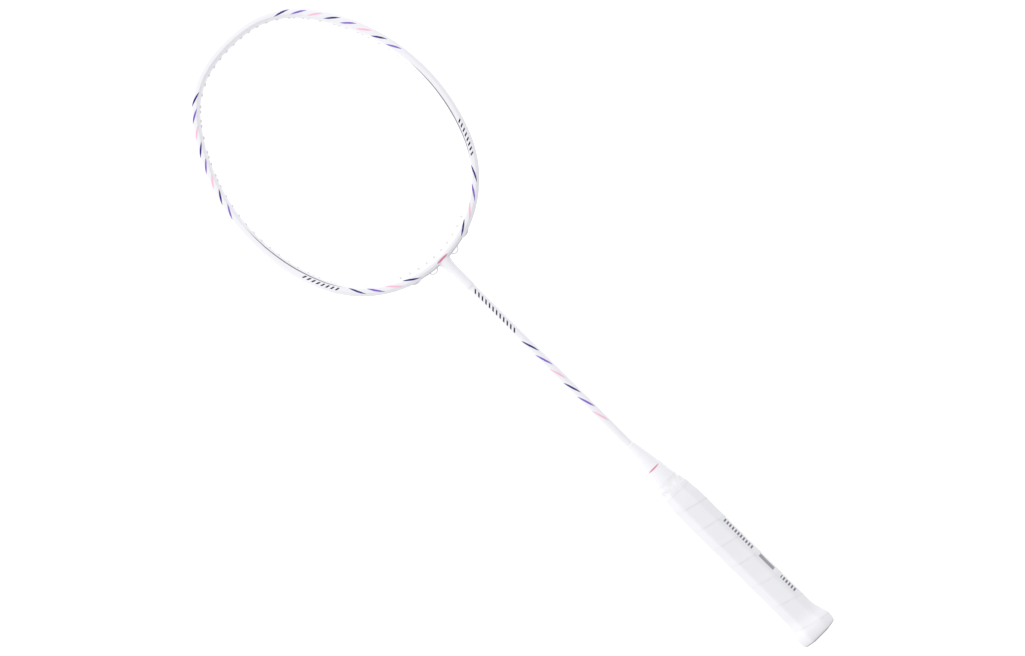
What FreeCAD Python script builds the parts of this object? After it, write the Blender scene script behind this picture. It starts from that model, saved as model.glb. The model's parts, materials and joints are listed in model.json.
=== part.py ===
"""Unstrung badminton racket, written as one STEP file per physical piece.

The racket is drawn along +Y with the butt end at y = 0, +X to its right and +Z out of
the string plane.  At the end every piece is laid on the ground as it really lies: on
the rim of the butt and on the underside of the head tip.  Millimetres throughout.
"""
import math
import os

import FreeCAD
import Part

Vector = FreeCAD.Vector

# ---- driving sizes ---------------------------------------------------------------
LENGTH = 675.0                # butt end to head tip, just under the 680 the rules allow
HEAD_LENGTH = 252.0           # outside of the head tube, tip to throat
SHOULDER_RADIUS = 67.1        # the head's centre line is four tangent arcs a side:
SIDE_RADIUS = 162.1           # tip, shoulder, side and throat
ARC_TURNS = (9.4, 52.0, 112.5)    # where one arc meets the next, see head_arcs
BAND = 7.8                    # head tube in the string plane
DEPTH = 10.6                  # head tube across the string plane
WALL = 1.2                    # moulded carbon wall
GROOVE_DEPTH = 1.3            # string groove round the outside of the head
GROOVE_HALF_WIDTH = 2.7
RELIEF_HALF_WIDTH = 23.0      # the groove's sides are cut away this far round the throat

MAIN_PITCH = 8.2              # lengthwise strings
MAINS_PER_SIDE = 11
CROSS_PITCH = 9.25            # crosswise strings
CROSSES = 21
FIRST_CROSS_BELOW_TIP = 24.4
SHARED_HOLE_PITCH = 3.6       # holes nearer than this become one shared hole
THROAT_EXIT_X = 7.6           # the two middle holes slant outward past the shaft's socket

TUBE_RADIUS = 1.2             # grommet tube
SHARED_TUBE_RADIUS = 1.5
STRING_BORE_RADIUS = 0.75
TUBE_PROUD = 0.2              # how far a tube stands into the head before its tip
THROAT_TUBE_PROUD = 1.9       # the throat strips' tubes are longer
TIP_LENGTH = 0.6
FLANGE_RADIUS = 2.0
FLANGE_THICK = 0.8
TOP_STRIP_HALF_WIDTH = 46.0   # mains held by the strip at the tip
THROAT_STRIP_HALF_WIDTH = 38.0
STRIP_HALF_WIDTH = 1.6
ARCH_THICK = 1.0
INNER_ARCH = (11.4, 4.3, 3.6)     # distance from the axis, half-span, height
OUTER_ARCH = (27.3, 5.0, 2.3)

SHAFT_RADIUS = 3.6
SHAFT_BORE_RADIUS = 2.5
SOCKET_RADIUS = 4.1           # the throat's socket round the shaft
SOCKET_LENGTH = 28.0
T_STEM_LENGTH = 32.0
T_ARM_HALF_WIDTH = 24.0

SHAFT_BOTTOM = 78.0           # how far the shaft reaches into the handle
CONE_TOP = 214.5
CONE_BASE = 166.0
CONE_WALL = 1.4
SPIGOT_TOP = 178.0
SPIGOT_RADIUS = 8.0
CORE_HALF_WIDTH = 11.7
CORE_HALF_DEPTH = 10.5
CORE_BEVEL = 5.8
CORE_CAVITY_RADIUS = 5.5
CORE_CAVITY_TOP = 46.0
CORE_BOTTOM = 2.0
TAPE_THICK = 0.2              # adhesive tape under the grip
GRIP_THICK = 1.45
GRIP_TOP = 170.0
FINISH_TAPE_LENGTH = 8.0
FINISH_TAPE_THICK = 0.35

# ---- derived places --------------------------------------------------------------
THROAT_Y = LENGTH - HEAD_LENGTH
GROOVE_FLOOR = BAND / 2 - GROOVE_DEPTH
SOCKET_BOTTOM = THROAT_Y - SOCKET_LENGTH
SHAFT_TOP = THROAT_Y - 0.5
ORIGIN = Vector(0, 0, 0)
RIGHT = Vector(1, 0, 0)
UP = Vector(0, 0, 1)


# ---- the head's centre line ------------------------------------------------------
# A place on the head is given by its turn: the bearing of the outward normal there, in
# degrees clockwise from the tip, so 0 is the tip, 90 the widest place and 180 the throat.
def outward(turn):
    return Vector(math.sin(math.radians(turn)), math.cos(math.radians(turn)), 0)


def head_arcs():
    """(first turn, last turn, radius, centre) of each arc of the right side.

    The tip's and the throat's radii are the two that bring the line back to the axis
    and give it the head's length.
    """
    bearings = [outward(turn) for turn in (0,) + ARC_TURNS + (180,)]
    steps = [(b.x - a.x, a.y - b.y) for a, b in zip(bearings, bearings[1:])]
    inner = [(SHOULDER_RADIUS * steps[1][k] + SIDE_RADIUS * steps[2][k]) for k in (0, 1)]
    across, along = -inner[0], HEAD_LENGTH - BAND - inner[1]
    (ax, ay), (bx, by) = steps[0], steps[3]
    area = ax * by - bx * ay
    radii = [(across * by - bx * along) / area, SHOULDER_RADIUS, SIDE_RADIUS,
             (ax * along - across * ay) / area]
    arcs, point = [], Vector(0, LENGTH - BAND / 2, 0)
    turns = (0,) + ARC_TURNS + (180,)
    for first, last, radius in zip(turns, turns[1:], radii):
        centre = point - outward(first) * radius
        arcs.append((first, last, radius, centre))
        point = centre + outward(last) * radius
    return arcs


HEAD_ARCS = head_arcs()


def head_point(turn):
    for first, last, radius, centre in HEAD_ARCS:
        if turn <= last:
            break
    return centre + outward(turn) * radius


def turn_where(rising, low, high):
    """Turn between low and high where rising(point), which grows with turn, is zero."""
    for _ in range(40):
        middle = (low + high) / 2
        if rising(head_point(middle)) < 0:
            low = middle
        else:
            high = middle
    return middle


def tip_turn(x):
    return turn_where(lambda p: p.x - x, 0, 90)


def throat_turn(x):
    return turn_where(lambda p: x - p.x, 90, 180)


def string_holes():
    """{turn: shared} for each string hole of the right side.

    A crosswise string that comes out next to a lengthwise one shares its hole.
    """
    mains = [MAIN_PITCH * (i + 0.5) for i in range(MAINS_PER_SIDE)]
    holes = {find(x): False for find in (tip_turn, throat_turn) for x in mains}
    for j in range(CROSSES):
        y = LENGTH - FIRST_CROSS_BELOW_TIP - CROSS_PITCH * j
        turn = turn_where(lambda p: y - p.y, 0, 180)
        nearest = min(holes, key=lambda t: (head_point(t) - head_point(turn)).Length)
        if (head_point(nearest) - head_point(turn)).Length < SHARED_HOLE_PITCH:
            holes[nearest] = True
        else:
            holes[turn] = False
    return holes


# ---- small shape helpers ---------------------------------------------------------
def rounded_face(points, radii):
    """Planar face of a polygon whose corners are rounded by the matching radii."""
    edges, starts, ends, arcs = [], [], [], []
    count = len(points)
    for i, (corner, radius) in enumerate(zip(points, radii)):
        before = (points[i - 1] - corner).normalize()
        after = (points[(i + 1) % count] - corner).normalize()
        if radius == 0:
            starts.append(corner)
            ends.append(corner)
            arcs.append(None)
            continue
        half = before.getAngle(after) / 2
        run = radius / math.tan(half)
        middle = (before + after).normalize()
        centre = corner + middle * (radius / math.sin(half))
        starts.append(corner + before * run)
        ends.append(corner + after * run)
        arcs.append(centre - middle * radius)
    for i in range(count):
        if arcs[i]:
            edges.append(Part.Arc(starts[i], arcs[i], ends[i]).toShape())
        following = starts[(i + 1) % count]
        if (following - ends[i]).Length > 1e-6:
            edges.append(Part.makeLine(ends[i], following))
    return Part.Face(Part.Wire(edges))


def mirrored_outline(half):
    """Close a (out, up) outline by mirroring its upper half to below the plane."""
    return half + [(out, -up) for out, up in reversed(half)]


def sweep_along_head(sections, first, last):
    """Sweep nested (outline, radii) sections along the right side between two turns.

    The first section is the outside and a second one is hollow.
    """
    pieces = []
    for arc_first, arc_last, _, centre in HEAD_ARCS:
        start, end = max(first, arc_first), min(last, arc_last)
        if start >= end:
            continue
        base, out = head_point(start), outward(start)
        faces = [rounded_face([base + out * o + UP * u for o, u in outline], radii)
                 for outline, radii in sections]
        face = faces[0].cut(faces[1]).Faces[0] if len(faces) > 1 else faces[0]
        pieces.append(face.revolve(centre, UP * -1, end - start))
    return pieces[0].fuse(pieces[1:]) if len(pieces) > 1 else pieces[0]


def mirror_x(shape):
    return shape.mirror(ORIGIN, RIGHT)


def both_sides(shape):
    """The shape fused with its mirror image in the plane x = 0."""
    return shape.fuse(mirror_x(shape))


def rod(radius, bottom, top):
    """Round bar on the racket's axis from y = bottom to y = top."""
    return Part.makeCylinder(radius, top - bottom, Vector(0, bottom, 0), Vector(0, 1, 0))


def octagon(y, half_width, half_depth, bevel):
    """Closed octagonal outline across the handle at y."""
    x, z, b = half_width, half_depth, bevel
    corners = [(x, z - b), (x - b, z), (b - x, z), (-x, z - b),
               (-x, b - z), (b - x, -z), (x - b, -z), (x, b - z)]
    return Part.makePolygon([Vector(cx, y, cz) for cx, cz in corners + corners[:1]])


def handle_loft(rows, skin=0.0):
    """Handle body through rows of (y, half-width), grown outward all round by skin."""
    wires = []
    for y, half_width in rows:
        scale = half_width / CORE_HALF_WIDTH
        half_depth = CORE_HALF_DEPTH * scale
        bevel = CORE_BEVEL * scale
        wires.append(octagon(y, half_width + skin, half_depth + skin, bevel + 0.59 * skin))
    return Part.makeLoft(wires, True, True)


# ---- head ------------------------------------------------------------------------
def head_shell():
    """Hollow head tube with its string groove, before any hole is drilled."""
    b, d, g = BAND / 2, DEPTH / 2, GROOVE_HALF_WIDTH
    full = mirrored_outline([(-b, 2.0), (-2.2, d), (1.6, d), (b, d - 1.9), (b, g),
                             (GROOVE_FLOOR, g - 0.5)])
    full_radii = [1.6, 1.6, 1.8, 0.9, 0.4, 0] + [0, 0.4, 0.9, 1.8, 1.6, 1.6]
    relieved = mirrored_outline([(-b, 2.0), (-2.2, d), (1.0, d), (GROOVE_FLOOR, d - 1.9)])
    relieved_radii = [1.6, 1.6, 1.4, 0.9] + [0.9, 1.4, 1.6, 1.6]
    hollow = mirrored_outline([(WALL - b, 1.6), (-1.6, d - WALL), (0.6, d - WALL),
                               (GROOVE_FLOOR - WALL, d - WALL - 1.6)])
    hollow = (hollow, [0.8] * 8)
    relief_turn = throat_turn(RELIEF_HALF_WIDTH)
    head = sweep_along_head([(full, full_radii), hollow], 0, relief_turn)
    throat = sweep_along_head([(relieved, relieved_radii), hollow], relief_turn, 180)
    return both_sides(head.fuse(throat)), both_sides(sweep_along_head([hollow], relief_turn, 180))


def throat_socket():
    """Socket that flares out of the throat and takes the shaft's top end."""
    top = SOCKET_RADIUS + 0.06
    rows = [(THROAT_Y + 3.0, 5.9, 4.8), (THROAT_Y + 0.4, 5.4, 4.7), (THROAT_Y - 2.0, 4.9, 4.5),
            (THROAT_Y - 5.5, 4.4, 4.3), (THROAT_Y - 9.0, top, top)]
    wires = []
    for y, half_width, half_depth in rows:
        ellipse = Part.Ellipse(Vector(0, 0, 0), half_width, half_depth - 0.001)
        wire = Part.Wire(ellipse.toShape())
        wire.rotate(Vector(0, 0, 0), Vector(1, 0, 0), 90)
        wire.translate(Vector(0, y, 0))
        wires.append(wire)
    flare = Part.makeLoft(wires, True)
    socket = rod(SOCKET_RADIUS, SOCKET_BOTTOM, THROAT_Y - 6.0)
    rim = Part.makeCone(SHAFT_RADIUS + 0.1, SOCKET_RADIUS, 1.6,
                        Vector(0, SOCKET_BOTTOM - 1.6, 0), Vector(0, 1, 0))
    return flare.fuse([socket, rim])


def hole_axis(turn):
    """Ends of a string hole's axis: on the groove floor and at the tube's inner tip."""
    proud = THROAT_TUBE_PROUD if turn > throat_turn(THROAT_STRIP_HALF_WIDTH) else TUBE_PROUD
    inner = head_point(turn) - outward(turn) * (BAND / 2 + proud)
    turn = min(turn, throat_turn(THROAT_EXIT_X))
    return head_point(turn) + outward(turn) * GROOVE_FLOOR, inner


def tube_at(turn, radius):
    """Round bar through the head where a grommet's tube goes."""
    start, end = hole_axis(turn)
    return Part.makeCylinder(radius, (end - start).Length, start, end - start)


def string_bore(turn):
    """The string's way through a grommet, longer than the grommet at both ends."""
    start, end = hole_axis(turn)
    way = (end - start).normalize()
    return Part.makeCylinder(STRING_BORE_RADIUS, BAND + 16, start - way * 8, way)


def sleeve(turn, radius):
    """Grommet's tube with the tapered tip that stands into the head, not yet bored."""
    start, end = hole_axis(turn)
    tip = Part.makeCone(radius, radius - 0.25, TIP_LENGTH, end, end - start)
    return tube_at(turn, radius).fuse(tip)


def grommet(turn, radius):
    """Single grommet: flange on the groove floor, tube through the head, bored."""
    flange = Part.makeCylinder(FLANGE_RADIUS, FLANGE_THICK, hole_axis(turn)[0], outward(turn))
    return sleeve(turn, radius).fuse(flange).cut(string_bore(turn))


def arch(distance, half_span, height):
    """Bowed guard standing on the throat's groove floor on the right side."""
    turn = throat_turn(distance)
    out = outward(turn)
    along = Vector(-out.y, out.x, 0)
    base = head_point(turn) + out * (GROOVE_FLOOR + 0.1)

    def bow(span, rise):
        feet = [base - along * span, base + along * span]
        return Part.Arc(feet[0], base + out * rise, feet[1]).toShape(), feet

    outer, outer_feet = bow(half_span, height)
    inner, inner_feet = bow(half_span - ARCH_THICK, height - ARCH_THICK)
    sides = [Part.makeLine(outer_feet[1], inner_feet[1]), Part.makeLine(inner_feet[0], outer_feet[0])]
    face = Part.Face(Part.Wire([outer, sides[0], inner, sides[1]]))
    face.translate(UP * -1.3)
    return face.extrude(UP * 2.6)


def strip(turns, first, last, extras):
    """Grommet strip: a band on the groove floor from turn first to last, with tubes."""
    floor, w = GROOVE_FLOOR, STRIP_HALF_WIDTH
    outline = [(floor, w), (floor + FLANGE_THICK, w), (floor + FLANGE_THICK, -w), (floor, -w)]
    band = sweep_along_head([(outline, [0] * 4)], first, last)
    body = band.fuse([sleeve(turn, TUBE_RADIUS) for turn in turns] + extras)
    return body.cut([string_bore(turn) for turn in turns])


# ---- parts -----------------------------------------------------------------------
parts = {}
holes = string_holes()
right_drills = [tube_at(t, SHARED_TUBE_RADIUS if shared else TUBE_RADIUS)
                for t, shared in holes.items()]
drills = right_drills + [mirror_x(drill) for drill in right_drills]

shell_solid, throat_hollow = head_shell()
shaft_way = rod(SHAFT_RADIUS, SOCKET_BOTTOM - 5, SHAFT_TOP)
stem_way = rod(SHAFT_BORE_RADIUS, SHAFT_TOP - 1, THROAT_Y + 5)
frame = shell_solid.fuse(throat_socket()).cut([throat_hollow, shaft_way, stem_way] + drills)
parts["head_frame"] = frame

# Insert inside the throat: two curved arms in the head tube and a stem down the shaft.
arm_outline = mirrored_outline([(-2.3, 1.5), (-1.4, 3.7), (0.4, 3.7),
                                (GROOVE_FLOOR - WALL - 0.1, 2.2)])
arms = both_sides(sweep_along_head([(arm_outline, [0.4] * 8)], throat_turn(T_ARM_HALF_WIDTH), 180))
stem = rod(SHAFT_BORE_RADIUS, SHAFT_TOP - T_STEM_LENGTH, THROAT_Y + BAND / 2)
parts["t_joint"] = arms.fuse(stem).cut(drills)

tube = rod(SHAFT_RADIUS, SHAFT_BOTTOM, SHAFT_TOP)
parts["shaft"] = tube.cut(rod(SHAFT_BORE_RADIUS, SHAFT_BOTTOM - 1, SHAFT_TOP + 1))
parts["shaft_plug"] = rod(SHAFT_BORE_RADIUS, SHAFT_BOTTOM, SHAFT_BOTTOM + 18)

# Grommets: one strip round the tip, one strip each side of the throat, singles between.
tip_end = tip_turn(TOP_STRIP_HALF_WIDTH)
throat_end = throat_turn(THROAT_STRIP_HALF_WIDTH)
tip_turns = [t for t in holes if t < tip_end]
throat_turns = [t for t in holes if t > throat_end]
parts["top_grommet_strip"] = both_sides(strip(tip_turns, 0, tip_end, []))
arches = [arch(*INNER_ARCH), arch(*OUTER_ARCH)]
right_strip = strip(throat_turns, throat_end, throat_turn(5.0), arches).cut(throat_socket())
parts["right_throat_strip"] = right_strip
parts["left_throat_strip"] = mirror_x(right_strip)
singles = [t for t in holes if tip_end <= t <= throat_end]
for name, wide, radius in (("single_grommets", False, TUBE_RADIUS),
                           ("shared_hole_grommets", True, SHARED_TUBE_RADIUS)):
    right = [grommet(t, radius) for t in singles if holes[t] == wide]
    parts[name] = Part.makeCompound(right + [mirror_x(piece) for piece in right])

# Handle core: beech octagon that flares at the butt and ends in a spigot for the cone.
CORE_ROWS = [(CORE_BOTTOM, 13.9), (6.0, 15.4), (10.5, 14.9), (15.5, 13.2), (20.5, 12.0),
             (26.0, CORE_HALF_WIDTH), (150.0, CORE_HALF_WIDTH), (158.0, 10.9), (CONE_BASE, 9.6)]
core = handle_loft(CORE_ROWS).fuse(rod(SPIGOT_RADIUS, CONE_BASE - 1, SPIGOT_TOP))
core = core.cut([rod(SHAFT_RADIUS, SHAFT_BOTTOM, SPIGOT_TOP + 1),
                 rod(CORE_CAVITY_RADIUS, CORE_BOTTOM - 1, CORE_CAVITY_TOP)])

# Cone cap: thin plastic shell over the spigot, closed round the shaft at its top.
cone_outline = [(SHAFT_RADIUS, CONE_TOP), (4.15, CONE_TOP - 0.4), (4.35, 212.0), (5.2, 206.5),
                (5.9, 202.0), (6.7, 197.5), (8.75, 183.5), (9.5, 178.0), (9.9, 174.5),
                (9.9, CONE_BASE), (SPIGOT_RADIUS, CONE_BASE), (SPIGOT_RADIUS, SPIGOT_TOP + 0.2),
                (4.6, 203.0), (SHAFT_RADIUS, 205.0)]
profile = Part.makePolygon([Vector(r, y, 0) for r, y in cone_outline + cone_outline[:1]])
parts["cone_cap"] = Part.Face(profile).revolve(ORIGIN, Vector(0, 1, 0), 360)

parts["balance_weight"] = rod(CORE_CAVITY_RADIUS, 14.0, 26.0)
plug = rod(CORE_CAVITY_RADIUS, CORE_BOTTOM - 0.2, 10.0).cut(rod(3.6, 4.0, 11.0))
cap = Part.makeLoft([octagon(0.3, 12.6, 11.2, 5.9), octagon(1.0, 13.4, 12.0, 6.2),
                     octagon(CORE_BOTTOM, 13.4, 12.0, 6.2)], True, True)
disc_seat = rod(9.2, 0, 0.6)
parts["butt_cap"] = cap.fuse(plug).cut(disc_seat)
parts["butt_disc"] = rod(9.0, 0.0, 0.6)

# Staple that pins the grip's first turn to the wood, on the underside near the butt.
crown_z = -CORE_HALF_DEPTH - TAPE_THICK - 0.2
crown = Part.makeBox(8.0, 0.9, 0.5, Vector(-4.0, 33.0, crown_z - 0.3))
legs = [Part.makeBox(0.7, 0.9, 5.2, Vector(x, 33.0, crown_z)) for x in (-4.0, 3.3)]
staple = crown.fuse(legs)
parts["grip_staple"] = staple

# Adhesive tape, cushioned grip and finishing tape, each outside the one before.
tape_rows = [row for row in CORE_ROWS if row[0] >= 6.0][:-1] + [(GRIP_TOP - 6.0, 9.95)]
tape = handle_loft(tape_rows, TAPE_THICK)
GRIP_ROWS = [(0.9, 13.45), (2.0, 14.7), (4.0, 15.3), (6.5, 15.45), (10.5, 15.0), (15.5, 13.3),
             (20.5, 12.1), (26.0, CORE_HALF_WIDTH), (150.0, CORE_HALF_WIDTH), (158.0, 11.0),
             (164.5, 10.2), (GRIP_TOP, 9.35)]
grip = handle_loft(GRIP_ROWS, TAPE_THICK + GRIP_THICK)
cone_solid = Part.Face(Part.makePolygon([Vector(r, y, 0) for r, y in (
    (0, CONE_TOP), (4.35, 212.0), (6.7, 197.5), (9.9, 174.5), (9.9, CONE_BASE), (0, CONE_BASE),
    (0, CONE_TOP))])).revolve(ORIGIN, Vector(0, 1, 0), 360)
core_block = handle_loft(CORE_ROWS)
tape = tape.cut([core_block, cone_solid, staple])
grip = grip.cut([core_block, cone_solid, handle_loft(tape_rows, TAPE_THICK), cap, staple])
finish_rows = [(158.0, 11.0), (164.5, 10.2), (GRIP_TOP, 9.35), (GRIP_TOP + 2.5, 8.75)]
finish = handle_loft(finish_rows, TAPE_THICK + GRIP_THICK + FINISH_TAPE_THICK)
finish = finish.common(Part.makeBox(60, FINISH_TAPE_LENGTH, 60,
                                    Vector(-30, GRIP_TOP + 1.8 - FINISH_TAPE_LENGTH, -30)))
finish = finish.cut([handle_loft(GRIP_ROWS, TAPE_THICK + GRIP_THICK), cone_solid])
parts["adhesive_tape"] = tape
parts["grip_wrap"] = grip
parts["finishing_tape"] = finish
parts["handle_core"] = core.cut(staple)

# Printed film label on the upper right bevel of the grip.
skin = TAPE_THICK + GRIP_THICK
bevel = CORE_BEVEL + 0.59 * skin
label_middle = Vector(CORE_HALF_WIDTH + skin - bevel / 2, 79.0, CORE_HALF_DEPTH + skin - bevel / 2)
label = Part.makeBox(5.6, 86.0, 0.15, Vector(-2.8, -43.0, 0.0))
label.rotate(Vector(0, 0, 0), Vector(0, 1, 0), 45)
label.translate(label_middle)
parts["handle_label"] = label

# ---- lay the racket down ---------------------------------------------------------
# The lowest point of the butt's rim and the underside of the head tip touch the ground.
butt_low = CORE_HALF_DEPTH * 15.45 / CORE_HALF_WIDTH + skin
rest_angle = math.degrees(math.atan2(butt_low - DEPTH / 2, LENGTH - 4.0 - 6.5))
for shape in parts.values():
    shape.rotate(Vector(0, 0, 0), Vector(1, 0, 0), -rest_angle)
bounds = Part.makeCompound(list(parts.values())).optimalBoundingBox(True, False)
to_origin = Vector(-(bounds.XMin + bounds.XMax) / 2, -(bounds.YMin + bounds.YMax) / 2, -bounds.ZMin)
os.makedirs("parts", exist_ok=True)
for name, shape in parts.items():
    shape.translate(to_origin)
    shape.exportStep("parts/" + name + ".step")
    print(name, len(shape.Solids), shape.isValid(), round(shape.Volume, 1))
print("rest angle", round(rest_angle, 4), "moved by", to_origin)
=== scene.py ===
"""Unstrung badminton racket: its finishes, wound grip, tape and film label, and the studio.

New pieces are drawn as the racket is drawn in CAD, along +Y with the butt end at y = 0 and
+Z out of the string plane, and are then laid down with the frame.
"""

import json
import math

import bpy
from mathutils import Matrix, Vector


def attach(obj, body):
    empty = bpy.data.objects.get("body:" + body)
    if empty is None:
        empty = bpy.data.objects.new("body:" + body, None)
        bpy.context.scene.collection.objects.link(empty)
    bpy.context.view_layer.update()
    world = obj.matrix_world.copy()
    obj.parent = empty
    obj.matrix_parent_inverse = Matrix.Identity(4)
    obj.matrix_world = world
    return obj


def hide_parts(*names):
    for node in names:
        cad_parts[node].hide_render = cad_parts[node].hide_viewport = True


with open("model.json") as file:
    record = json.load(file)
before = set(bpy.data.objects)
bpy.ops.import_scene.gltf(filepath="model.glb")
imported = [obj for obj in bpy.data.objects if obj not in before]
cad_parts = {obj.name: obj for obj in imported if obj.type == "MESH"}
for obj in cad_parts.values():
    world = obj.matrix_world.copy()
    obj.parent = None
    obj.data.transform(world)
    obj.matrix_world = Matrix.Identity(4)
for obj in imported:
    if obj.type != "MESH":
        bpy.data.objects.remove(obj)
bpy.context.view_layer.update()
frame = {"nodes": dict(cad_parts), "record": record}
bpy.ops.object.select_all(action="DESELECT")

MM = 0.001
nodes = frame["nodes"]

# ---- where the racket lies -------------------------------------------------------
butt_mount = next(m for m in frame["record"]["mounts"] if m["name"] == "butt_end_face")
BUTT = Vector(butt_mount["pos_m"])
LEAN = math.atan2(-butt_mount["axis"][2], -butt_mount["axis"][1])
LAY_DOWN = Matrix.Translation(BUTT) @ Matrix.Rotation(LEAN, 4, "X")

# ---- sizes of the racket, in millimetres -----------------------------------------
LENGTH = 675.0
BAND = 7.8                    # head tube in the string plane
DEPTH = 10.6                  # head tube across it
HOOP_RADII = (120.4, 67.1, 162.1, 90.49)      # tip, shoulder, side and throat arcs
HOOP_TURNS = (0.0, 9.4, 52.0, 112.5, 180.0)   # bearing of the outward normal between them
SHAFT_RADIUS = 3.6
CORE_HALF_WIDTH = 11.7
CORE_HALF_DEPTH = 10.5
CORE_BEVEL = 5.8
GRIP_SKIN = 1.65              # from the wood to the outside of the grip
TAPE_SKIN = 0.2               # adhesive tape under the grip
GRIP_BOTTOM = 0.9
GRIP_TOP = 170.0
HANDLE_ROWS = ((0.9, 13.45), (2.0, 14.7), (4.0, 15.3), (6.5, 15.45), (10.5, 15.0),
               (15.5, 13.3), (20.5, 12.1), (26.0, 11.7), (80.0, 11.7), (150.0, 11.7),
               (158.0, 11.0), (164.5, 10.2), (170.0, 9.35), (175.0, 8.4))


# ---- shader helpers --------------------------------------------------------------
def add(tree, kind, **values):
    """New shader node with its plain values set."""
    node = tree.nodes.new(kind if kind.startswith("NodeGroup") else "ShaderNode" + kind)
    for name, value in values.items():
        setattr(node, name, value)
    return node


def feed(tree, socket, value):
    """Link a socket to value, or set it where value is a plain number or colour."""
    if isinstance(value, bpy.types.NodeSocket):
        tree.links.new(value, socket)
    elif hasattr(value, "__len__") and len(value) == 3 and socket.type == "RGBA":
        socket.default_value = (*value, 1.0)
    else:
        socket.default_value = value


def maths(tree, operation, *values, clamp=False):
    node = add(tree, "Math", operation=operation, use_clamp=clamp)
    for socket, value in zip(node.inputs, values):
        feed(tree, socket, value)
    return node.outputs[0]


def blend(tree, share, under, over, kind="RGBA"):
    """Mix of two colours, or of two numbers with kind FLOAT."""
    node = add(tree, "Mix", data_type=kind, clamp_factor=True)
    first = {"RGBA": 6, "FLOAT": 2}[kind]
    feed(tree, node.inputs[0], share)
    feed(tree, node.inputs[first], under)
    feed(tree, node.inputs[first + 1], over)
    return node.outputs[{"RGBA": 2, "FLOAT": 0}[kind]]


def ease(tree, value, low, high, start=0.0, end=1.0):
    """Smooth rise from start to end while value goes from low to high."""
    node = add(tree, "MapRange", interpolation_type="SMOOTHSTEP")
    for name, given in (("Value", value), ("From Min", low), ("From Max", high),
                        ("To Min", start), ("To Max", end)):
        feed(tree, node.inputs[name], given)
    return node.outputs[0]


def noise(tree, vector, scale, detail=3.0, roughness=0.5):
    node = add(tree, "TexNoise")
    feed(tree, node.inputs["Vector"], vector)
    feed(tree, node.inputs["Scale"], scale)
    feed(tree, node.inputs["Detail"], detail)
    feed(tree, node.inputs["Roughness"], roughness)
    return node.outputs["Fac"]


def vector_of(tree, x, y, z):
    node = add(tree, "CombineXYZ")
    for socket, value in zip(node.inputs, (x, y, z)):
        feed(tree, socket, value)
    return node.outputs[0]


def new_group(name, inputs, outputs):
    """Empty shader group. inputs are (name, plain value) and outputs are names of values."""
    tree = bpy.data.node_groups.new(name, "ShaderNodeTree")
    for label, value in inputs:
        colour = hasattr(value, "__len__")
        kind = "NodeSocketColor" if colour else "NodeSocketFloat"
        socket = tree.interface.new_socket(name=label, in_out="INPUT", socket_type=kind)
        socket.default_value = (*value, 1.0) if colour else value
    for label in outputs:
        tree.interface.new_socket(name=label, in_out="OUTPUT", socket_type="NodeSocketFloat")
    return tree, add(tree, "NodeGroupInput").outputs, add(tree, "NodeGroupOutput").inputs


def use(tree, group, **values):
    """Places a group in a material with its own values and returns its outputs."""
    node = add(tree, "Group", node_tree=group)
    for name, value in values.items():
        feed(tree, node.inputs[name.replace("_", " ")], value)
    return node.outputs


# ---- shader groups ---------------------------------------------------------------
BRISTLE_STRETCH = 0.09        # how far the unevenness of a streak's edge is drawn out along it
BRISTLE_SCALE = 1.3


def make_racket_place():
    """Millimetres across, along and above the racket's axis."""
    tree, _, out = new_group("racket place", [], ["Across", "Along", "Up"])
    coordinates = add(tree, "TexCoord").outputs["Object"]
    mapping = add(tree, "Mapping", vector_type="TEXTURE")
    feed(tree, mapping.inputs["Vector"], coordinates)
    mapping.inputs["Location"].default_value = BUTT
    mapping.inputs["Rotation"].default_value = (LEAN, 0, 0)
    mapping.inputs["Scale"].default_value = (MM, MM, MM)
    split = add(tree, "SeparateXYZ")
    feed(tree, split.inputs[0], mapping.outputs[0])
    for k in range(3):
        feed(tree, out[k], split.outputs[k])
    return tree


def hoop_arcs():
    """(first turn, last turn, radius, centre) of the head's centre line, right side."""
    arcs, point = [], Vector((0.0, LENGTH - BAND / 2))
    for first, last, radius in zip(HOOP_TURNS, HOOP_TURNS[1:], HOOP_RADII):
        first, last = math.radians(first), math.radians(last)
        centre = point - Vector((math.sin(first), math.cos(first))) * radius
        arcs.append((first, last, radius, centre))
        point = centre + Vector((math.sin(last), math.cos(last))) * radius
    return arcs


def make_hoop_place(racket_place):
    """Round is the way along the head's centre line from the tip, the same on both sides.
    Girth is 0 on the middle of a face and grows outward over the edge of the tube."""
    tree, _, out = new_group("hoop place", [], ["Round", "Girth"])
    place = use(tree, racket_place)
    across = maths(tree, "ABSOLUTE", place["Across"])
    travelled, outward = 0.0, 0.0
    for first, last, radius, centre in hoop_arcs():
        x = maths(tree, "SUBTRACT", across, centre.x)
        y = maths(tree, "SUBTRACT", place["Along"], centre.y)
        turn = maths(tree, "WRAP", maths(tree, "ARCTAN2", x, y), math.pi * 1.5, -math.pi / 2)
        inside = maths(tree, "MINIMUM", maths(tree, "MAXIMUM", turn, first), last)
        run = maths(tree, "MULTIPLY", maths(tree, "SUBTRACT", inside, first), radius)
        travelled = maths(tree, "ADD", travelled, run)
        squares = maths(tree, "ADD", maths(tree, "MULTIPLY", x, x), maths(tree, "MULTIPLY", y, y))
        off = maths(tree, "SUBTRACT", maths(tree, "SQRT", squares), radius)
        here = maths(tree, "GREATER_THAN", turn, first - 1e-4)
        outward = blend(tree, here, outward, off, "FLOAT")
    height = maths(tree, "ABSOLUTE", place["Up"])
    over = maths(tree, "MAXIMUM", maths(tree, "SUBTRACT", DEPTH / 2, height), 0.0)
    wrapped = maths(tree, "MULTIPLY", maths(tree, "SIGN", outward), over)
    feed(tree, out["Round"], travelled)
    feed(tree, out["Girth"], maths(tree, "ADD", outward, wrapped))
    return tree


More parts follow.
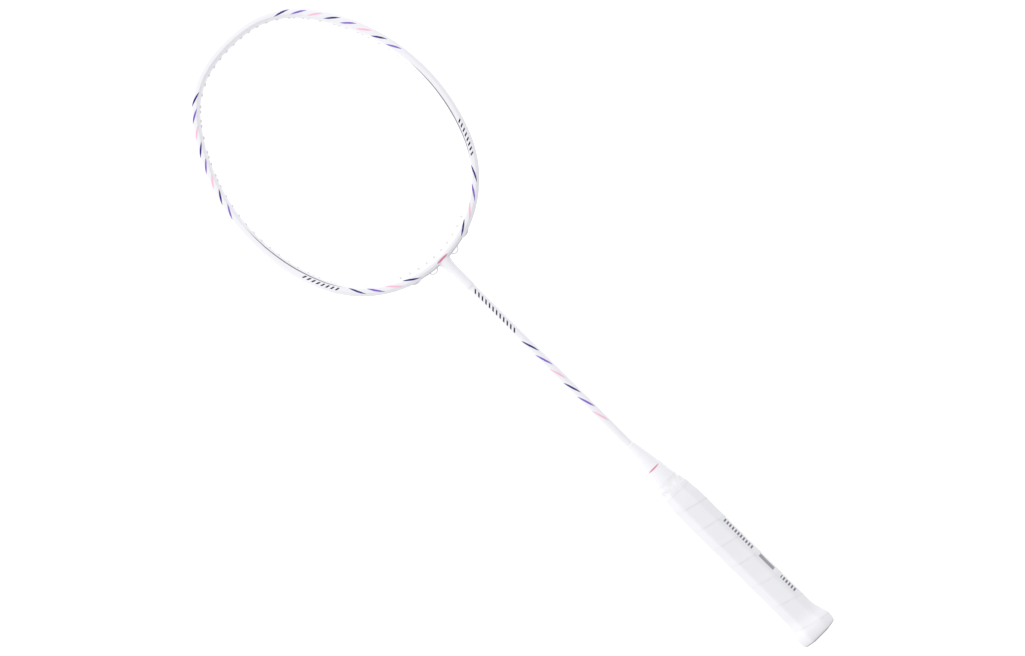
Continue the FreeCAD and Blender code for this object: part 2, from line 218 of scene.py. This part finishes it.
def make_shaft_place(racket_place):
    """Round is the height above the butt, Girth the way round from the middle of a face."""
    tree, _, out = new_group("shaft place", [], ["Round", "Girth"])
    place = use(tree, racket_place)
    angle = maths(tree, "ARCTAN2", place["Across"], maths(tree, "ABSOLUTE", place["Up"]))
    feed(tree, out["Round"], place["Along"])
    feed(tree, out["Girth"], maths(tree, "MULTIPLY", angle, SHAFT_RADIUS))
    return tree


def make_streak():
    """Mask of one straight streak from Start to End, tapered at both ends."""
    tree, given, out = new_group(
        "streak",
        [("Round", 0.0), ("Girth", 0.0), ("Start", 0.0), ("End", 1.0), ("From", 0.0),
         ("To", 0.0), ("Width", 1.0), ("Soft", 0.1), ("Ragged", 0.0)], ["Mask"])
    gone = maths(tree, "SUBTRACT", given["Round"], given["Start"])
    share = maths(tree, "DIVIDE", gone, maths(tree, "SUBTRACT", given["End"], given["Start"]),
                  clamp=True)
    hump = maths(tree, "MULTIPLY", share, maths(tree, "SUBTRACT", 1.0, share))
    taper = maths(tree, "POWER", maths(tree, "MULTIPLY", hump, 4.0), 0.5)
    line = blend(tree, share, given["From"], given["To"], "FLOAT")
    bristles = noise(tree, vector_of(tree, maths(tree, "MULTIPLY", given["Round"], BRISTLE_STRETCH),
                                     given["Girth"], given["Start"]), BRISTLE_SCALE, 2.0)
    fray = maths(tree, "MULTIPLY", maths(tree, "SUBTRACT", bristles, 0.5), given["Ragged"])
    gap = maths(tree, "ABSOLUTE", maths(tree, "SUBTRACT", given["Girth"], line))
    reach = maths(tree, "MULTIPLY", given["Width"], taper)
    depth = maths(tree, "ADD", maths(tree, "SUBTRACT", reach, gap), fray)
    ends = maths(tree, "MULTIPLY", given["Soft"], maths(tree, "SUBTRACT", 1.0, taper))
    depth = maths(tree, "SUBTRACT", depth, maths(tree, "MULTIPLY", ends, 1.2))
    soft_low = maths(tree, "MULTIPLY", given["Soft"], -1.0)
    feed(tree, out["Mask"], ease(tree, depth, soft_low, given["Soft"]))
    return tree


def make_dash_row():
    """Mask of a row of plain slanted dashes between Start and End."""
    tree, given, out = new_group(
        "dash row",
        [("Round", 0.0), ("Girth", 0.0), ("Start", 0.0), ("End", 1.0), ("Low", 0.0),
         ("High", 1.0), ("Pitch", 1.0), ("Fill", 0.5), ("Slant", 0.0)], ["Mask"])
    slid = maths(tree, "MULTIPLY", given["Girth"], given["Slant"])
    slid = maths(tree, "ADD", given["Round"], slid)
    step = maths(tree, "DIVIDE", maths(tree, "SUBTRACT", slid, given["Start"]), given["Pitch"])
    inked = maths(tree, "LESS_THAN", maths(tree, "FRACT", step), given["Fill"])
    along = maths(tree, "MULTIPLY", maths(tree, "GREATER_THAN", slid, given["Start"]),
                  maths(tree, "LESS_THAN", slid, given["End"]))
    across = maths(tree, "MULTIPLY", maths(tree, "GREATER_THAN", given["Girth"], given["Low"]),
                   maths(tree, "LESS_THAN", given["Girth"], given["High"]))
    feed(tree, out["Mask"], maths(tree, "MULTIPLY", maths(tree, "MULTIPLY", along, across), inked))
    return tree


def make_surface_life():
    """Fine unevenness every finish has: Height for bump, Rub for roughness, Cloud for colour.
    Grain is its size in millimetres."""
    tree, given, out = new_group("surface life", [("Grain", 1.0)], ["Height", "Rub", "Cloud"])
    coordinates = add(tree, "TexCoord").outputs["Object"]
    fine = maths(tree, "DIVIDE", 1000.0, given["Grain"])
    feed(tree, out["Height"], noise(tree, coordinates, fine, 3.0, 0.55))
    feed(tree, out["Rub"], noise(tree, coordinates, 160.0, 6.0, 0.7))
    feed(tree, out["Cloud"], noise(tree, coordinates, 24.0, 3.0, 0.5))
    return tree


racket_place = make_racket_place()
hoop_place = make_hoop_place(racket_place)
shaft_place = make_shaft_place(racket_place)
streak = make_streak()
dash_row = make_dash_row()
surface_life = make_surface_life()


# ---- materials -------------------------------------------------------------------
def new_material(name, **values):
    """Principled material whose sockets hold the given plain values."""
    material = bpy.data.materials.new(name)
    material.use_nodes = True
    tree = material.node_tree
    tree.nodes.clear()
    shader = add(tree, "BsdfPrincipled")
    feed(tree, add(tree, "OutputMaterial").inputs["Surface"], shader.outputs[0])
    for label, value in values.items():
        feed(tree, shader.inputs[label.replace("_", " ")], value)
    return material, tree, shader


def bump(tree, shader, height, distance):
    """Bump of the given depth in millimetres."""
    node = add(tree, "Bump")
    feed(tree, node.inputs["Height"], height)
    node.inputs["Distance"].default_value = distance * MM
    node.inputs["Strength"].default_value = 1.0
    feed(tree, shader.inputs["Normal"], node.outputs[0])


CLOUD_SHADE = 0.06            # how much darker a colour's clouds are
RUB_SPREAD = 0.12


def rub(tree, shader, life, rough, spread):
    """Roughness around rough, a little shinier and duller in patches."""
    feed(tree, shader.inputs["Roughness"], ease(tree, life["Rub"], 0.3, 0.7, rough - spread / 2,
                                                rough + spread / 2))


def vary(tree, shader, life, colour, rough):
    """Slight clouds in a plain colour and in its roughness."""
    darker = tuple(c * (1 - CLOUD_SHADE) for c in colour)
    shade = blend(tree, life["Cloud"], darker, colour)
    feed(tree, shader.inputs["Base Color"], shade)
    rub(tree, shader, life, rough, RUB_SPREAD)
    return shade


WHITE = (0.785, 0.785, 0.82)
INK = (0.013, 0.007, 0.045)
INDIGO = (0.028, 0.010, 0.17)
VIOLET = (0.20, 0.10, 0.50)
PINK = (0.84, 0.46, 0.60)
ROSE = (0.62, 0.10, 0.22)
SLATE = (0.09, 0.09, 0.11)

# The paint is a plain repeated decoration: rows of equal slanted streaks, evenly spaced.
# A streak is (colour, start, end, from, to, width, softness, strength).
ROW_COLOURS = (INDIGO, VIOLET, PINK)
STREAK_REACH = 2.4            # how far a streak slants to either side of the tube's middle
STREAK_WIDTH = 0.8
STREAK_SOFTNESS = 0.25
STREAK_FRAY = 0.5
BAR_REACH = 6.0               # a bar's length to either side of the axis


def even_row(first, last, count):
    """Equal straight streaks between two places, in the row's colours by turns."""
    pitch = (last - first) / count
    row = []
    for turn in range(count):
        start = first + turn * pitch
        colour = ROW_COLOURS[turn % len(ROW_COLOURS)]
        row.append((colour, start, start + pitch, -STREAK_REACH, STREAK_REACH,
                    STREAK_WIDTH, STREAK_SOFTNESS, 1.0))
    return tuple(row)


def plain_bar(along, width):
    """One straight bar right across the racket."""
    return ((ROSE, -BAR_REACH, BAR_REACH, along, along, width, 0.3, 0.8),)


# One plain line along the inner edge of the hoop, between the two rows of streaks.
EDGE_LINE = ((SLATE, 165.0, 265.0, -2.5, -2.5, 0.7, STREAK_SOFTNESS, 0.9),)
HOOP_STREAKS = even_row(45.0, 155.0, 8) + even_row(265.0, 325.0, 4) + EDGE_LINE
SHAFT_STREAKS = even_row(335.0, 240.0, 6)
THROAT_BARS = plain_bar(426.0, 1.0)
CONE_BARS = plain_bar(188.0, 0.7)

# A row of dashes is (start, end, low, high, pitch, fill, slant).
HOOP_DASHES = ((228.0, 260.0, -1.0, 1.5, 4.0, 0.4, 0.9),)
SHAFT_DASHES = ((344.0, 392.0, -1.5, 1.5, 4.0, 0.4, -0.9),)


def print_streaks(tree, colour, place, streaks):
    """Colour with streaks laid over it; place is the (round, girth) they are drawn in."""
    for tint, start, end, low, high, width, soft, strength in streaks:
        mask = use(tree, streak, Round=place[0], Girth=place[1], Start=start, End=end,
                   From=low, To=high, Width=width, Soft=soft, Ragged=STREAK_FRAY)["Mask"]
        colour = blend(tree, maths(tree, "MULTIPLY", mask, strength), colour, tint)
    return colour


def lacquer(name, place_group, streaks, dashes=(), bars=()):
    """White lacquer with streaks, bars and dashes printed under a clear coat."""
    material, tree, shader = new_material(name, IOR=1.45, Specular_IOR_Level=0.2,
                                          Coat_Weight=0.12, Coat_Roughness=0.04)
    life = use(tree, surface_life, Grain=2.2)
    place = use(tree, place_group)
    colour = blend(tree, life["Cloud"], tuple(c * 0.985 for c in WHITE), WHITE)
    colour = print_streaks(tree, colour, (place["Round"], place["Girth"]), streaks)
    if bars:
        flat = use(tree, racket_place)
        colour = print_streaks(tree, colour, (flat["Across"], flat["Along"]), bars)
    for start, end, low, high, pitch, fill, slant in dashes:
        mask = use(tree, dash_row, Round=place["Round"], Girth=place["Girth"], Start=start,
                   End=end, Low=low, High=high, Pitch=pitch, Fill=fill, Slant=slant)["Mask"]
        colour = blend(tree, mask, colour, INK)
    feed(tree, shader.inputs["Base Color"], colour)
    rub(tree, shader, life, 0.21, 0.10)
    bump(tree, shader, life["Height"], 0.012)
    return material


hoop_lacquer = lacquer("hoop_lacquer", hoop_place, HOOP_STREAKS, HOOP_DASHES, THROAT_BARS)
shaft_lacquer = lacquer("shaft_lacquer", shaft_place, SHAFT_STREAKS, SHAFT_DASHES)


def plain_finish(name, colour, rough, grain, depth, **values):
    """Moulded or bare material in one colour with fine unevenness."""
    material, tree, shader = new_material(name, **values)
    life = use(tree, surface_life, Grain=grain)
    vary(tree, shader, life, colour, rough)
    bump(tree, shader, life["Height"], depth)
    return material


grommet_nylon = plain_finish("grommet_nylon", (0.74, 0.74, 0.77), 0.38, 0.5, 0.01)
cone_plastic = lacquer("cone_plastic", shaft_place, (), (), CONE_BARS)
butt_plastic = plain_finish("butt_plastic", (0.72, 0.72, 0.75), 0.4, 0.6, 0.02)
disc_plastic = plain_finish("disc_plastic", (0.66, 0.66, 0.70), 0.5, 0.4, 0.03)
weight_brass = plain_finish("weight_brass", (0.60, 0.42, 0.14), 0.3, 0.6, 0.02, Metallic=1.0)
staple_steel = plain_finish("staple_steel", (0.50, 0.50, 0.52), 0.25, 0.5, 0.01, Metallic=1.0)


def turned_wood(name):
    """Bare beech with its grain along the racket."""
    material, tree, shader = new_material(name)
    life = use(tree, surface_life, Grain=1.2)
    place = use(tree, racket_place)
    drawn_out = maths(tree, "MULTIPLY", place["Along"], 0.04)
    grain = noise(tree, vector_of(tree, place["Across"], drawn_out, place["Up"]), 1.6, 4.0, 0.6)
    rub(tree, shader, life, 0.6, RUB_SPREAD)
    feed(tree, shader.inputs["Base Color"], blend(tree, ease(tree, grain, 0.35, 0.7),
                                                  (0.56, 0.40, 0.22), (0.36, 0.22, 0.10)))
    bump(tree, shader, grain, 0.1)
    return material


# how much darker the grip is made in a thin band along its cut edge at the butt
BUTT_EDGE_DARKENING = 0.7


def grip_leather(name):
    """Soft white grip, darker in a thin band along its cut edge at the butt."""
    material, tree, shader = new_material(name, IOR=1.45, Specular_IOR_Level=0.35)
    life = use(tree, surface_life, Grain=0.5)
    colour = vary(tree, shader, life, WHITE, 0.55)
    place = use(tree, racket_place)
    edge = ease(tree, place["Along"], 1.2, 2.4, BUTT_EDGE_DARKENING, 0.0)
    feed(tree, shader.inputs["Base Color"], blend(tree, edge, colour, SLATE))
    bump(tree, shader, life["Height"], 0.05)
    return material


handle_wood = turned_wood("handle_wood")
moulded_carbon = plain_finish("moulded_carbon", (0.02, 0.02, 0.022), 0.4, 1.0, 0.05)
tape_paper = plain_finish("tape_paper", (0.70, 0.66, 0.55), 0.75, 0.4, 0.03)
finish_tape = plain_finish("finish_tape", (0.81, 0.81, 0.835), 0.42, 0.4, 0.02)


# Rows of print are (lengthwise, start, end, low, high, pitch, fill, strength).
LABEL_PRINT = (
    (True, 88.0, 120.0, 9.5, 12.0, 3.0, 0.5, 0.8),
    (True, 64.0, 80.0, 9.5, 12.0, 9.0, 1.0, 0.6),
    (True, 40.0, 56.0, 9.5, 12.0, 3.0, 0.5, 0.8),
)


def printed_film(name):
    """Pale film with two rows of dashes and a plain block printed down the handle."""
    material, tree, shader = new_material(name, IOR=1.45, Specular_IOR_Level=0.3)
    life = use(tree, surface_life, Grain=0.6)
    colour = vary(tree, shader, life, (0.77, 0.77, 0.80), 0.4)
    place = use(tree, racket_place)
    for lengthwise, start, end, low, high, pitch, fill, strength in LABEL_PRINT:
        way = ("Along", "Across") if lengthwise else ("Across", "Along")
        mask = use(tree, dash_row, Round=place[way[0]], Girth=place[way[1]], Start=start,
                   End=end, Low=low, High=high, Pitch=pitch, Fill=fill, Slant=0.0)["Mask"]
        colour = blend(tree, maths(tree, "MULTIPLY", mask, strength), colour, INK)
    feed(tree, shader.inputs["Base Color"], colour)
    bump(tree, shader, life["Height"], 0.01)
    return material


label_film = printed_film("label_film")
grip_skin = grip_leather("grip_skin")

FINISHES = {
    "head_frame": hoop_lacquer, "shaft": shaft_lacquer, "cone_cap": cone_plastic,
    "t_joint": moulded_carbon, "shaft_plug": handle_wood, "handle_core": handle_wood,
    "top_grommet_strip": grommet_nylon, "right_throat_strip": grommet_nylon,
    "left_throat_strip": grommet_nylon, "single_grommets": grommet_nylon,
    "shared_hole_grommets": grommet_nylon, "butt_cap": butt_plastic,
    "butt_disc": disc_plastic, "balance_weight": weight_brass, "grip_staple": staple_steel,
    "adhesive_tape": tape_paper, "finishing_tape": finish_tape, "handle_label": label_film,
    "grip_wrap": grip_skin,
}
for name, material in FINISHES.items():
    nodes[name].data.materials.clear()
    nodes[name].data.materials.append(material)

# ---- wound grip ------------------------------------------------------------------
# Heights where the tape's lower edge crosses the middle of the upper face, turn by turn.
SEAM_HEIGHTS = (-34.0, -12.0, 13.0, 38.5, 62.0, 85.0, 105.0, 125.0, 145.5, 166.0, 187.0)
FIRST_SEAM = -2               # turn of the first height
OVERLAP = 4.0                 # a turn lies this far over the one before
EDGE_STEP = 0.20              # how far an upper turn's edge stands out
EDGE_SINK = 0.42              # how far the edge under it is pressed in
STEPS_PER_TURN = 120
LOWER_COLUMNS = (0.0, 0.10, 0.4, 1.0, 2.0, 3.4, 5.0, 7.0)
UPPER_COLUMNS = (6.0, 4.6, 3.6, 2.4, 1.2, 0.2, 0.0)
MIDDLE_COLUMNS = 4            # more of them, evenly spaced between the lower and the upper
STRIP_START = FIRST_SEAM + 0.42
STRIP_END = 8.2
NARROWEST = 0.4               # the strip's tapered ends stop at this width
FULL_WIDTH = 16.0             # below this width the columns draw together
EDGE_ROUNDING = 0.12
TOP_SQUEEZE = 0.55            # how far the finishing tape presses the top edge down
STRIP_PER_TURN = 0.086        # metres of strip in one turn
CORNER_SHARPNESS = 34


def through(points, at):
    """Smooth value at a place along rising (place, value) points."""
    k = 0
    while k < len(points) - 2 and points[k + 1][0] < at:
        k += 1
    (x0, y0), (x1, y1) = points[k], points[k + 1]
    span = x1 - x0
    before = points[k - 1] if k else (x0 - span, 2 * y0 - y1)
    after = points[k + 2] if k + 2 < len(points) else (x1 + span, 2 * y1 - y0)
    rise0 = (y1 - before[1]) / (x1 - before[0]) * span
    rise1 = (after[1] - y0) / (after[0] - x0) * span
    t = min(max((at - x0) / span, 0.0), 1.0)
    return (y0 * (1 + 2 * t) * (1 - t) ** 2 + rise0 * t * (1 - t) ** 2
            + y1 * t * t * (3 - 2 * t) - rise1 * t * t * (1 - t))


def step_up(value, low, high):
    t = min(max((value - low) / (high - low), 0.0), 1.0)
    return t * t * (3 - 2 * t)


def handle_surface(angle, y, skin):
    """Distance from the axis to the eight-sided handle, grown by skin, its corners eased."""
    half_width = through(HANDLE_ROWS, y)
    scale = half_width / CORE_HALF_WIDTH
    wide, deep = half_width + skin, CORE_HALF_DEPTH * scale + skin
    slant = (half_width + (CORE_HALF_DEPTH - CORE_BEVEL) * scale) / math.sqrt(2) + skin
    total = 0.0
    for k, flat in enumerate((wide, slant, deep, slant, wide, slant, deep, slant)):
        facing = math.cos(angle - k * math.pi / 4)
        if facing > 0:
            total += (facing / flat) ** CORNER_SHARPNESS
    return total ** (-1 / CORNER_SHARPNESS)


SEAMS = [(FIRST_SEAM + k, height) for k, height in enumerate(SEAM_HEIGHTS)]


def wrap_heights(turn, y):
    """(outer, inner) height of the tape against its plain thickness, at y on that turn."""
    own, following = through(SEAMS, turn), through(SEAMS, turn + 1)
    on_top = step_up(own - GRIP_BOTTOM, -1.0, 4.0)
    above, past = y - own, y - following
    outer = EDGE_STEP * on_top * (1 - step_up(above, 0.0, 7.5))
    outer -= EDGE_SINK * step_up(past, -0.3, 1.6)
    inner = -(GRIP_SKIN - TAPE_SKIN)
    if on_top > 0 and above < OVERLAP + 0.6:
        under = 0.02 - EDGE_SINK * step_up(above, -0.3, 1.6)
        inner = under + (inner - under) * step_up(above, OVERLAP + 0.05, OVERLAP + 0.6)
    top_taper = step_up(y, GRIP_TOP - 9.0, GRIP_TOP)
    return outer - TOP_SQUEEZE * top_taper, inner


def wind_grip():
    """Cushioned tape wound up the handle as one long strip, each turn over the last."""
    count = int((STRIP_END - STRIP_START) * STEPS_PER_TURN)
    size = 2 * (len(LOWER_COLUMNS) + MIDDLE_COLUMNS + len(UPPER_COLUMNS))
    vertices, faces, places = [], [], []
    for i in range(count + 1):
        turn = STRIP_START + (STRIP_END - STRIP_START) * i / count
        angle = math.radians(90) + turn * 2 * math.pi
        low = max(through(SEAMS, turn), GRIP_BOTTOM)
        high = min(through(SEAMS, turn + 1) + OVERLAP, GRIP_TOP)
        if high - low < NARROWEST:
            continue
        squeeze = min(1.0, (high - low) / FULL_WIDTH)
        columns = [low + c * squeeze for c in LOWER_COLUMNS]
        upper = [high - c * squeeze for c in UPPER_COLUMNS]
        gap = (upper[0] - columns[-1]) / (MIDDLE_COLUMNS + 1)
        middle = [columns[-1] + gap * k for k in range(1, MIDDLE_COLUMNS + 1)]
        columns += middle + upper
        ring = []
        for k, y in enumerate(columns):
            outer, inner = wrap_heights(turn, y)
            if k in (0, len(columns) - 1):
                outer -= EDGE_ROUNDING
            ring.append((y, outer, inner))
        loop = [(y, outer) for y, outer, _ in ring] + [(y, inner) for y, _, inner in ring[::-1]]
        start = len(vertices)
        for y, height in loop:
            radius = handle_surface(angle, y, GRIP_SKIN) + height
            vertices.append((math.cos(angle) * radius * MM, y * MM,
                             math.sin(angle) * radius * MM))
            places.append((turn * STRIP_PER_TURN, (y - through(SEAMS, turn)) * MM))
        if start:
            for k in range(size):
                a, b = start - size + k, start - size + (k + 1) % size
                faces.append((a, b, b + size, a + size))
    faces.append(tuple(range(size))[::-1])
    faces.append(tuple(range(len(vertices) - size, len(vertices))))
    mesh = bpy.data.meshes.new("wound_grip")
    mesh.from_pydata(vertices, [], faces)
    layer = mesh.uv_layers.new(name="strip")
    for loop in mesh.loops:
        layer.data[loop.index].uv = places[loop.vertex_index]
    piece = bpy.data.objects.new("wound_grip", mesh)
    bpy.context.scene.collection.objects.link(piece)
    return piece


SMOOTH_ANGLE = 35.0


def lay_down(piece):
    """Applies a piece's own placing and lays it down with the racket."""
    bpy.ops.object.select_all(action="DESELECT")
    piece.select_set(True)
    bpy.context.view_layer.objects.active = piece
    bpy.ops.object.transform_apply(location=True, rotation=True, scale=True)
    piece.matrix_world = LAY_DOWN
    bpy.ops.object.transform_apply(location=True, rotation=True, scale=True)


def settle(piece, name, material):
    """Names a laid down piece and gives it its finish."""
    bpy.ops.object.select_all(action="DESELECT")
    piece.select_set(True)
    bpy.context.view_layer.objects.active = piece
    bpy.ops.object.mode_set(mode="EDIT")
    bpy.ops.mesh.select_all(action="SELECT")
    bpy.ops.mesh.normals_make_consistent(inside=False)
    bpy.ops.object.mode_set(mode="OBJECT")
    bpy.ops.object.shade_smooth_by_angle(angle=math.radians(SMOOTH_ANGLE))
    piece.name = piece.data.name = name
    piece.data.materials.clear()
    piece.data.materials.append(material)
    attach(piece, "root")
    piece.select_set(False)
    return piece


def apply_modifier(piece, kind, **values):
    """Adds a modifier, sets it and applies it."""
    modifier = piece.modifiers.new(kind.lower(), kind)
    for name, value in values.items():
        setattr(modifier, name, value)
    bpy.context.view_layer.objects.active = piece
    bpy.ops.object.modifier_apply(modifier=modifier.name)


def joined(pieces, copies):
    """The pieces as one object; copies keeps the originals."""
    bpy.ops.object.select_all(action="DESELECT")
    for piece in pieces:
        piece.select_set(True)
    bpy.context.view_layer.objects.active = pieces[0]
    if copies:
        bpy.ops.object.duplicate()
    bpy.ops.object.join()
    return bpy.context.active_object


wound_grip = wind_grip()
lay_down(wound_grip)
settle(wound_grip, "wound_grip", grip_skin)
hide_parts("grip_wrap")

# ---- finishing tape over the grip's top edge -------------------------------------
TAPE_BANDS = ((161.0, 174.2, 0.10), (163.5, 169.6, 0.26))     # bottom, top, height over the grip
BAND_THICK = 0.16
BAND_RADIUS = 17.0            # before it is pressed on


def tape_band(bottom, top, lift, under):
    """One turn of tape pressed on to what lies under it."""
    bpy.ops.mesh.primitive_cylinder_add(vertices=144, radius=BAND_RADIUS * MM,
                                        depth=(top - bottom) * MM, end_fill_type="NOTHING",
                                        location=(0, (top + bottom) / 2 * MM, 0),
                                        rotation=(math.radians(-90), 0, 0))
    band = bpy.context.active_object
    lay_down(band)
    bpy.ops.object.mode_set(mode="EDIT")
    bpy.ops.mesh.select_all(action="SELECT")
    bpy.ops.mesh.subdivide(number_cuts=9)
    bpy.ops.object.mode_set(mode="OBJECT")
    apply_modifier(band, "SHRINKWRAP", wrap_method="PROJECT", use_negative_direction=True,
                   use_positive_direction=False, target=under, offset=lift * MM)
    apply_modifier(band, "SMOOTH", factor=0.5, iterations=8)
    apply_modifier(band, "SOLIDIFY", thickness=BAND_THICK * MM, offset=1.0)
    return band


under_tape = joined((wound_grip, nodes["cone_cap"]), True)
bands = [tape_band(bottom, top, lift, under_tape) for bottom, top, lift in TAPE_BANDS]
bpy.data.objects.remove(under_tape)
wound_tape = settle(joined(bands, False), "wound_tape", finish_tape)
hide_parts("finishing_tape")

# ---- film label ------------------------------------------------------------------
LABEL_BOTTOM, LABEL_TOP, LABEL_WIDTH = 38.0, 123.0, 6.6
LABEL_MIDDLE = (10.55, 8.2)   # across and above the axis
LABEL_STAND_OFF = 3.0         # before it is pressed on
LABEL_LIFT = 0.04
LABEL_THICK = 0.08
bpy.ops.mesh.primitive_grid_add(x_subdivisions=10, y_subdivisions=120, size=1.0)
label = bpy.context.active_object
label.scale = (LABEL_WIDTH * MM, (LABEL_TOP - LABEL_BOTTOM) * MM, 1.0)
label.rotation_euler = (0.0, math.radians(45.0), 0.0)
label.location = ((LABEL_MIDDLE[0] + LABEL_STAND_OFF) * MM, (LABEL_BOTTOM + LABEL_TOP) / 2 * MM,
                  (LABEL_MIDDLE[1] + LABEL_STAND_OFF) * MM)
lay_down(label)
apply_modifier(label, "SHRINKWRAP", wrap_method="PROJECT", use_negative_direction=True,
               use_positive_direction=False, target=wound_grip, offset=LABEL_LIFT * MM)
apply_modifier(label, "SMOOTH", factor=0.5, iterations=2)
apply_modifier(label, "SOLIDIFY", thickness=LABEL_THICK * MM, offset=1.0)
settle(label, "film_label", label_film)
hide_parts("handle_label")

# ---- studio ----------------------------------------------------------------------
TENT_WALL = 1.0
TENT_TOP = 0.90
TENT_BUTT_END = 0.80          # share of the light from the butt's end and from the head's
TENT_HEAD_END = 1.18
FLOOR_GLOW = 0.36             # keeps the paper white under the racket
FLOOR_RADIUS = 6.0
FLOOR_DROP = 0.0004
KEY_PLACE = (-1.0, 1.8, 1.2)
KEY_SIZE = 1.5
KEY_POWER = 24.0
VIEW_WIDTH = 0.8216           # seen at the racket's height
VIEW_HEIGHT_ABOVE_FLOOR = 0.0115
VIEW_MIDDLE = (0.0002, 0.0097)
VIEW_TURN = -45.21

bpy.ops.mesh.primitive_circle_add(vertices=96, radius=FLOOR_RADIUS, fill_type="NGON",
                                  location=(0, 0, -FLOOR_DROP))
floor = bpy.context.active_object
floor.name = "studio_floor"
floor_paper, tree, shader = new_material("floor_paper", Roughness=0.9,
                                         Emission_Strength=FLOOR_GLOW)
life = use(tree, surface_life, Grain=3.0)
feed(tree, shader.inputs["Base Color"], blend(tree, life["Cloud"], (0.88,) * 3, (0.90,) * 3))
feed(tree, shader.inputs["Emission Color"], (1.0, 1.0, 1.0))
floor.data.materials.append(floor_paper)

world = bpy.data.worlds.new("studio")
bpy.context.scene.world = world
world.use_nodes = True
tree = world.node_tree
# A light tent: a little darker straight up than at its walls.
facing = add(tree, "SeparateXYZ")
feed(tree, facing.inputs[0], add(tree, "TexCoord").outputs["Generated"])
feed(tree, tree.nodes["Background"].inputs["Strength"],
     maths(tree, "MULTIPLY", ease(tree, facing.outputs["Z"], 0.2, 1.0, TENT_WALL, TENT_TOP),
           ease(tree, facing.outputs["Y"], -1.0, 1.0, TENT_BUTT_END, TENT_HEAD_END)))
tree.nodes["Background"].inputs["Color"].default_value = (1.0, 1.0, 1.0, 1.0)
bpy.context.scene.view_settings.view_transform = "Standard"


def softbox(name, place, size, power):
    """Square area light at place that looks at the racket's middle, in metres and watts."""
    light = bpy.data.lights.new(name, "AREA")
    light.shape = "SQUARE"
    light.size = size
    light.energy = power
    lamp = bpy.data.objects.new(name, light)
    bpy.context.scene.collection.objects.link(lamp)
    lamp.location = place
    lamp.rotation_euler = (-Vector(place)).to_track_quat("-Z", "Y").to_euler()


softbox("key_softbox", KEY_PLACE, KEY_SIZE, KEY_POWER)

camera = bpy.data.objects.new("camera", bpy.data.cameras.new("camera"))
bpy.context.scene.collection.objects.link(camera)
camera.data.lens = 85.0
camera.data.sensor_width = 36.0
stand_back = VIEW_WIDTH * camera.data.lens / camera.data.sensor_width
camera.location = (*VIEW_MIDDLE, VIEW_HEIGHT_ABOVE_FLOOR + stand_back)
camera.rotation_euler = (0.0, 0.0, math.radians(VIEW_TURN))
bpy.context.scene.camera = camera

bpy.context.view_layer.update()
